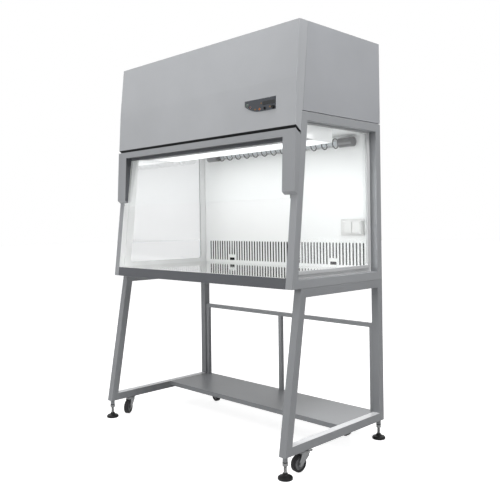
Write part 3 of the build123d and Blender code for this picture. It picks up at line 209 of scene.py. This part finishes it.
# each finish with the starts of the names of its nodes; the first that fits is taken
finishes = (
    (paint_frame, ("chamber_side_", "base_frame", "upper_beam", "stand_rear_frame")),
    (shaded_frame_paint, ("stand_side_", "shelf")),
    (paint_panel, ("rear_panel", "head_cabinet")),
    (paint_fascia, ("fascia",)),
    (paint_sash, ("sash_frame",)),
    (paint_white, ("back_wall", "ceiling_diffuser", "work_light")),
    (paint_motor, ("fan_motor",)),
    (shaded_pane_glass, ("side_glass_left",)),
    (clear_glass, ("side_glass_right", "sash_glass")),
    (tube_glass, ("germicidal_tube",)),
    (mirror_steel, ("worktop",)),
    (satin_steel, ("sash_pins",)),
    (zinc, ("foot_nuts", "caster_mount_", "caster_fork_", "brake_pedal_")),
    (guard_wire, ("lamp_guard",)),
    (holder_steel, ("lamp_holders",)),
    (aluminium, ("fan_housing", "fan_impeller")),
    (black_plastic, ("foot_", "mains_inlet", "key_switch", "speed_knob")),
    (white_plastic, ("socket_",)),
    (tread, ("caster_wheel_",)),
    (seal, ("side_seals",)),
    (paper, ("hepa_filter", "intake_filter")),
    (panel_film, ("control_panel",)),
    (display, ("display_window",)),
    (green, ("start_button",)),
    (red, ("stop_button",)),
    (orange, ("lamp_button",)),
    (amber, ("indicator_lenses",)),
)
for name, node in nodes.items():
    first = next(m for m, starts in finishes if name.startswith(starts))
    node.data.materials.clear()
    node.data.materials.append(first)


# ------------------------------------------------------------------ second finishes
def second_finish(name, m, chosen):
    """Gives the faces that chosen(centre, normal) picks a second finish."""
    mesh = nodes[name].data
    mesh.materials.append(m)
    index = len(mesh.materials) - 1
    for p in mesh.polygons:
        if chosen(p.center, p.normal):
            p.material_index = index


def centre(name):
    """Middle of a node's box."""
    lo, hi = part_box(name)
    return (lo + hi) / 2


stud_radius = 7.5 * mm
stud_bottom = 28.5 * mm
hub_radius = 28.5 * mm
for corner in corners:
    foot = centre(f"foot_{corner}")
    second_finish(f"foot_{corner}", thread_steel,
                  lambda c, n: c.z > stud_bottom and (c - foot).to_2d().length < stud_radius)
    wheel = centre(f"caster_wheel_{corner}")
    second_finish(f"caster_wheel_{corner}", hub, lambda c, n: (c - wheel).length < hub_radius)
nut_collar = 69.9 * mm
second_finish("foot_nuts", black_plastic, lambda c, n: c.z > nut_collar)

chamber_lo, chamber_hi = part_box("chamber_side_right")
beam_lo, beam_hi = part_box("upper_beam")
pane_lo, pane_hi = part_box("side_glass_right")
shelf_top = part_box("shelf")[1].z
fascia_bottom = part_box("fascia")[0].z
sash_glass_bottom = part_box("sash_glass")[0].z
apron_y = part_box("base_frame")[0].y
duct_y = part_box("rear_panel")[0].y
wall_rear_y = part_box("back_wall")[1].y
near_end = beam_hi.x - 30 * mm
beam_flange = 21 * mm
fascia_hem = 22 * mm
apron_depth = 14 * mm
head_joint = 3.9 * mm               # height of the painted highlight along the joint between chamber and head
beam_sheet = 2.5 * mm
sash_sheet = 1.3 * mm
duct_sheet = 0.2 * mm
wall_edge = 0.7 * mm
face_play = 0.5 * mm                # between a surface and the middle of a face that lies on it
edge_play = 1 * mm

# painted highlight along the chamber's top edge, under the head
second_finish("head_cabinet", highlight_paint, lambda c, n: c.z < chamber_hi.z + head_joint)
# painted shade on the beam's low faces
second_finish("upper_beam", underside_shade_paint, lambda c, n: c.z < beam_lo.z + beam_flange)
second_finish("upper_beam", paint_white, lambda c, n: c.y > beam_hi.y - beam_sheet or abs(c.x) > near_end)
# painted shade on the sash header's underside
second_finish("sash_frame", underside_shade_paint,
              lambda c, n: abs(c.x) < near_end and c.z < beam_lo.z + sash_sheet)
second_finish("sash_glass", glass_edge, lambda c, n: c.z < sash_glass_bottom + edge_play)
# painted shade in the gap under the fascia
second_finish("fascia", painted_shade_dark, lambda c, n: c.z < fascia_bottom + fascia_hem)
second_finish("base_frame", paint_apron, lambda c, n: c.y < apron_y + apron_depth)
# painted shade on the duct face behind the back wall
second_finish("rear_panel", painted_shade_dark, lambda c, n: c.y < duct_y + duct_sheet)
# painted shade on the back of the back wall
second_finish("back_wall", painted_shade_dark, lambda c, n: c.y > wall_rear_y - wall_edge)
# painted highlight on the rim around the control panel
second_finish("control_panel", highlight_paint, lambda c, n: abs(n.y) < 0.5)
for side in sides:
    # painted highlight on the tops of the stand's rails at shelf height
    second_finish(f"stand_side_{side}", highlight_paint, lambda c, n: abs(c.z - shelf_top) < edge_play)
    second_finish(f"chamber_side_{side}", paint_white, lambda c, n: abs(c.x) < chamber_lo.x + face_play)
    second_finish(f"side_glass_{side}", paint_white,
                  lambda c, n: pane_lo.x + face_play < abs(c.x) < pane_hi.x - face_play)

# the rolled corners of the square tubes
for name in ("stand_side_left", "stand_side_right", "stand_rear_frame", "chamber_side_left",
             "chamber_side_right", "base_frame"):
    bend = nodes[name].modifiers.new("tube_corners", "BEVEL")
    bend.width = 2.5 * mm
    bend.segments = 3
    bend.limit_method = "ANGLE"
    bend.angle_limit = math.radians(40)
    bend.harden_normals = True


# ------------------------------------------------------------------ pieces
def piece(name, bm, m, smooth=True):
    """Makes an object of the frame body out of a bmesh."""
    mesh = bpy.data.meshes.new(name)
    bm.to_mesh(mesh)
    bm.free()
    mesh.materials.append(m)
    for p in mesh.polygons:
        p.use_smooth = smooth
    o = bpy.data.objects.new(name, mesh)
    scene.collection.objects.link(o)
    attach(o, "frame")
    return o


def circle(radius, steps):
    """Points around the origin in a plane."""
    turns = (math.tau * k / steps for k in range(steps))
    return [Vector((radius * math.cos(t), radius * math.sin(t))) for t in turns]


def wire(bm, points, radius, closed=False):
    """Round wire along a list of points."""
    segments = 10
    section = circle(radius, segments)
    rings = []
    count = len(points)
    up = (points[1] - (points[-1] if closed else points[0])).normalized().orthogonal().normalized()
    for i, p in enumerate(points):
        before = points[i - 1] if closed or i else p
        after = points[(i + 1) % count] if closed or i < count - 1 else p
        along = (after - before).normalized()
        up = (up - along * up.dot(along)).normalized()
        across = along.cross(up)
        rings.append([bm.verts.new(p + s.x * up + s.y * across) for s in section])
    for i in range(count if closed else count - 1):
        here, there = rings[i], rings[(i + 1) % count]
        shift = 0
        if closed and i == count - 1:
            shift = min(range(segments), key=lambda k: (there[k].co - here[0].co).length)
        for k in range(segments):
            n = (k + 1) % segments
            bm.faces.new((here[k], here[n], there[(n + shift) % segments], there[(k + shift) % segments]))
    if not closed:
        bm.faces.new(rings[0][::-1])
        bm.faces.new(rings[-1])


def lamp_guard():
    """Round wire guard: hoops around the lamp, held by four rods."""
    bm = bmesh.new()
    hoops = 13
    hoop_steps = 36
    hoop_pitch = 72.5 * mm
    hoop_radius = 25.5 * mm
    hoop_wire = 2.6 * mm
    rod_circle = 23.3 * mm
    rod_wire = 0.7 * mm
    lamp = centre("germicidal_tube")
    rod_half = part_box("lamp_guard")[1].x
    for i in range(hoops):
        x = (i - (hoops - 1) / 2) * hoop_pitch
        hoop = [Vector((x, lamp.y + p.x, lamp.z + p.y)) for p in circle(hoop_radius, hoop_steps)]
        wire(bm, hoop, hoop_wire, closed=True)
    for angle in (45, 135, 225, 315):
        y = lamp.y + rod_circle * math.cos(math.radians(angle))
        z = lamp.z + rod_circle * math.sin(math.radians(angle))
        wire(bm, [Vector((x, y, z)) for x in (-rod_half, 0.0, rod_half)], rod_wire)
    guard = piece("lamp_guard_wire", bm, guard_wire)
    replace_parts(guard, "lamp_guard")


def rounded(outline, radius, steps=6):
    """Points of a polygon in (y, z) whose corners are rounded."""
    points = []
    count = len(outline)
    for i, corner in enumerate(outline):
        here = Vector(corner)
        before = (Vector(outline[i - 1]) - here).normalized()
        after = (Vector(outline[(i + 1) % count]) - here).normalized()
        half = before.angle(after) / 2
        middle = here + (before + after).normalized() * radius / math.sin(half)
        first = here + before * radius / math.tan(half) - middle
        last = here + after * radius / math.tan(half) - middle
        turn = first.angle_signed(last)
        for k in range(steps + 1):
            points.append(middle + Matrix.Rotation(-turn * k / steps, 2) @ first)
    return points


def inset(outline, amounts):
    """The polygon, listed anticlockwise, with each edge moved inwards by its own amount."""
    lines = []
    for corner, following, amount in zip(outline, outline[1:] + outline[:1], amounts):
        here = Vector(corner)
        along = (Vector(following) - here).normalized()
        lines.append((here + Vector((-along.y, along.x)) * amount, along))
    moved = []
    for (p, u), (q, v) in zip(lines[-1:] + lines[:-1], lines):
        gap = q - p
        moved.append(tuple(p + u * gap.cross(v) / u.cross(v)))
    return moved


def ring(bm, outer, inner, x_near, x_far):
    """Flat ring between two outlines in (y, z), from one X to another."""
    loops = [[[bm.verts.new((x, p.x, p.y)) for p in outline] for outline in (outer, inner)]
             for x in (x_near, x_far)]
    count = len(outer)
    for k in range(count):
        n = (k + 1) % count
        for around, within in loops:
            bm.faces.new((around[k], around[n], within[n], within[k]))
        for edge in (0, 1):
            near, far = loops[0][edge], loops[1][edge]
            bm.faces.new((near[k], near[n], far[n], far[k]))
    bmesh.ops.recalc_face_normals(bm, faces=bm.faces)


def window_edges():
    """White enamelled border on both faces of each side pane, and the grey gaskets around the panes."""
    vertices = nodes["side_glass_right"].data.vertices
    top_front = min(v.co.y for v in vertices if v.co.z > pane_hi.z - 1 * mm)
    pane = [(pane_lo.y, pane_lo.z), (pane_hi.y, pane_lo.z), (pane_hi.y, pane_hi.z), (top_front, pane_hi.z)]
    hidden = 8.3 * mm                   # of the pane, behind the tubes
    border = 34 * mm                    # from the tubes to the clear glass
    gasket = 16 * mm
    top_border = 8 * mm
    thin_edge = 0.4 * mm
    corner = 12 * mm
    gasket_corner = 16 * mm
    pane_corner = 0.5 * mm
    pane_play = 0.3 * mm                # from the pane's edges to its border
    tube_play = 0.2 * mm                # from the tubes' inner faces to the gasket
    enamel = 0.18 * mm
    gap = 0.02 * mm
    low = hidden + border
    high = hidden + top_border
    # the insets are those of the bottom, the rear, the top and the front
    border_outer = rounded(inset(pane, (pane_play,) * 4), pane_corner)
    border_inner = rounded(inset(pane, (low, low, high, low)), corner)
    gasket_outer = rounded(inset(pane, (low - gasket, low - gasket, hidden + thin_edge, hidden + thin_edge)),
                           gasket_corner)
    gasket_inner = rounded(inset(pane, (low, low, high, high)), corner)
    seal_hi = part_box("side_seals")[1]
    gaskets = bmesh.new()
    for side, sign in sides.items():
        bm = bmesh.new()
        for face, out in ((pane_hi.x, 1), (pane_lo.x, -1)):
            near = sign * (face + out * gap)
            ring(bm, border_outer, border_inner, near, near + sign * out * enamel)
        piece(f"pane_border_{side}", bm, paint_white, smooth=False)
        ring(gaskets, gasket_outer, gasket_inner, sign * (chamber_lo.x + tube_play), sign * seal_hi.x)
    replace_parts(piece("window_gaskets", gaskets, seal, smooth=False), "side_seals")


def beam_end_plates():
    """White plates that close the ends of the upper beam."""
    wall = 1.6 * mm
    lean = 8.6 * mm                     # of the beam's front from its bottom to its top
    recess = 0.8 * mm                   # from the beam's end to the plate
    thickness = 5.6 * mm
    front, rear = beam_lo.y + 1 * mm, beam_hi.y - wall
    bottom, top = beam_lo.z + wall, beam_hi.z - wall
    outline = [(front, bottom), (rear, bottom), (rear, top), (front + lean, top)]
    for side, sign in sides.items():
        bm = bmesh.new()
        near, past = ([bm.verts.new((sign * x, y, z)) for y, z in outline]
                      for x in (beam_hi.x - recess, beam_hi.x - recess - thickness))
        bm.faces.new(near)
        bm.faces.new(past)
        for k in range(4):
            bm.faces.new((near[k - 1], near[k], past[k], past[k - 1]))
        bmesh.ops.recalc_face_normals(bm, faces=bm.faces)
        piece(f"beam_end_plate_{side}", bm, paint_white, smooth=False)


def lens():
    """Opal lens under the work light."""
    end_margin = 8 * mm
    side_margin = 7 * mm
    hang = 2.5 * mm                     # below the light's body
    gap = 0.1 * mm
    rounding = 0.8 * mm
    lo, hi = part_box("work_light")
    low = Vector((lo.x + end_margin, lo.y + side_margin, lo.z - hang))
    high = Vector((hi.x - end_margin, hi.y - side_margin, lo.z - gap))
    middle = Matrix.Translation((low + high) / 2)
    bm = bmesh.new()
    bmesh.ops.create_cube(bm, size=1.0, matrix=middle @ Matrix.Diagonal((*(high - low), 1)))
    bmesh.ops.bevel(bm, geom=bm.edges[:], offset=rounding, segments=2, affect="EDGES", profile=0.5)
    piece("work_light_lens", bm, opal_lens)


lamp_guard()
window_edges()
beam_end_plates()
lens()


# ------------------------------------------------------------------ stage
scene.view_settings.view_transform = "Standard"


def background_rays(nt):
    """1 for rays by which the background is seen: by the camera, in glass or in a mirror."""
    path = nt.nodes.new("ShaderNodeLightPath")
    seen = path.outputs["Is Camera Ray"]
    for ray in ("Is Transmission Ray", "Is Glossy Ray"):
        either = nt.nodes.new("ShaderNodeMath")
        either.operation = "MAXIMUM"
        nt.links.new(seen, either.inputs[0])
        nt.links.new(path.outputs[ray], either.inputs[1])
        seen = either.outputs[0]
    return seen


def white_floor():
    """Floor that keeps the object's shadow, seen as white, and all the more so further away."""
    bm = bmesh.new()
    bmesh.ops.create_grid(bm, x_segments=1, y_segments=1, size=30)
    mesh = bpy.data.meshes.new("floor")
    bm.to_mesh(mesh)
    bm.free()
    floor = bpy.data.objects.new("floor", mesh)
    scene.collection.objects.link(floor)
    m = bpy.data.materials.new("floor_white")
    m.use_nodes = True
    nt = m.node_tree
    bsdf = nt.nodes["Principled BSDF"]
    bsdf.inputs["Base Color"].default_value = (0.7, 0.7, 0.7, 1)
    bsdf.inputs["Roughness"].default_value = 0.7
    bsdf.inputs["Specular IOR Level"].default_value = 0.1
    place = nt.nodes.new("ShaderNodeTexCoord")
    far = nt.nodes.new("ShaderNodeVectorMath")
    far.operation = "LENGTH"
    nt.links.new(place.outputs["Object"], far.inputs[0])
    rise = nt.nodes.new("ShaderNodeMapRange")
    rise.inputs["From Min"].default_value = 1.2
    rise.inputs["From Max"].default_value = 3.5
    rise.inputs["To Min"].default_value = 0.84
    rise.inputs["To Max"].default_value = 1.0
    nt.links.new(far.outputs["Value"], rise.inputs["Value"])
    glow = nt.nodes.new("ShaderNodeMath")
    glow.operation = "MULTIPLY"
    nt.links.new(background_rays(nt), glow.inputs[0])
    nt.links.new(rise.outputs["Result"], glow.inputs[1])
    bsdf.inputs["Emission Color"].default_value = (1, 1, 1, 1)
    nt.links.new(glow.outputs[0], bsdf.inputs["Emission Strength"])
    mesh.materials.append(m)


def white_world():
    """White where it is seen, and nearly dark as a source of light."""
    world = bpy.data.worlds.new("studio")
    scene.world = world
    world.use_nodes = True
    nt = world.node_tree
    back = nt.nodes["Background"]
    back.inputs["Color"].default_value = (1, 1, 1, 1)
    level = nt.nodes.new("ShaderNodeMapRange")
    level.inputs["To Min"].default_value = 0.04
    level.inputs["To Max"].default_value = 1.0
    nt.links.new(background_rays(nt), level.inputs["Value"])
    nt.links.new(level.outputs["Result"], back.inputs["Strength"])


def area_light(name, place, target, size, watts):
    """Rectangular lamp at one point, facing another."""
    data = bpy.data.lights.new(name, "AREA")
    data.shape = "RECTANGLE"
    data.size, data.size_y = size
    data.energy = watts
    o = bpy.data.objects.new(name, data)
    scene.collection.objects.link(o)
    o.location = place
    o.rotation_euler = (Vector(target) - Vector(place)).to_track_quat("-Z", "Y").to_euler()
    return o


white_floor()
white_world()
large = (2.0, 1.4)
square = (1.4, 1.4)
area_light("high_front", (0.4, -2.6, 4.4), (0, 0, 1.0), (2.0, 1.2), 28)
area_light("overhead", (0.4, -1.0, 4.2), (0, 0, 1.2), large, 40)
area_light("front", (-0.6, -3.4, 1.6), (0, -0.3, 1.2), (1.6, 1.0), 38)
area_light("right", (2.6, -0.3, 4.6), (0.4, 0, 1.0), square, 104)
area_light("right_low", (3.2, -0.2, 2.2), (0.3, 0, 1.2), square, 12)
area_light("rear", (-1.6, 3.6, 2.8), (0, 0, 1.2), large, 42)
area_light("left", (-3.4, -0.2, 3.0), (0, 0, 1.2), square, 22)
area_light("chamber", (0, -0.02, 1.474), (0, -0.02, 0.8), (1.1, 0.14), 0.26)
fill = area_light("chamber_fill", (-0.1, -0.15, 0.92), (-0.1, 0.349, 1.5), (1.1, 0.3), 0.4)
fill.visible_camera = False
fill.visible_glossy = False
fill.visible_transmission = False


# ------------------------------------------------------------------ camera
eye = (2.48899, -2.44277, 1.09705)
yaw, pitch, roll = 0.789506, 0.0080967, -0.011801
forward = Vector((-math.sin(yaw) * math.cos(pitch), math.cos(yaw) * math.cos(pitch), math.sin(pitch)))
level_right = forward.cross(Vector((0, 0, 1))).normalized()
level_up = level_right.cross(forward)
right = math.cos(roll) * level_right + math.sin(roll) * level_up
up = math.cos(roll) * level_up - math.sin(roll) * level_right
lens_data = bpy.data.cameras.new("camera")
camera = bpy.data.objects.new("camera", lens_data)
scene.collection.objects.link(camera)
scene.camera = camera
camera.matrix_world = Matrix.Translation(eye) @ Matrix((right, up, -forward)).transposed().to_4x4()
lens_data.sensor_width = 36.0
lens_data.lens = 46.45
lens_data.shift_x = 0.02264
lens_data.shift_y = -0.06374
lens_data.clip_end = 100.0
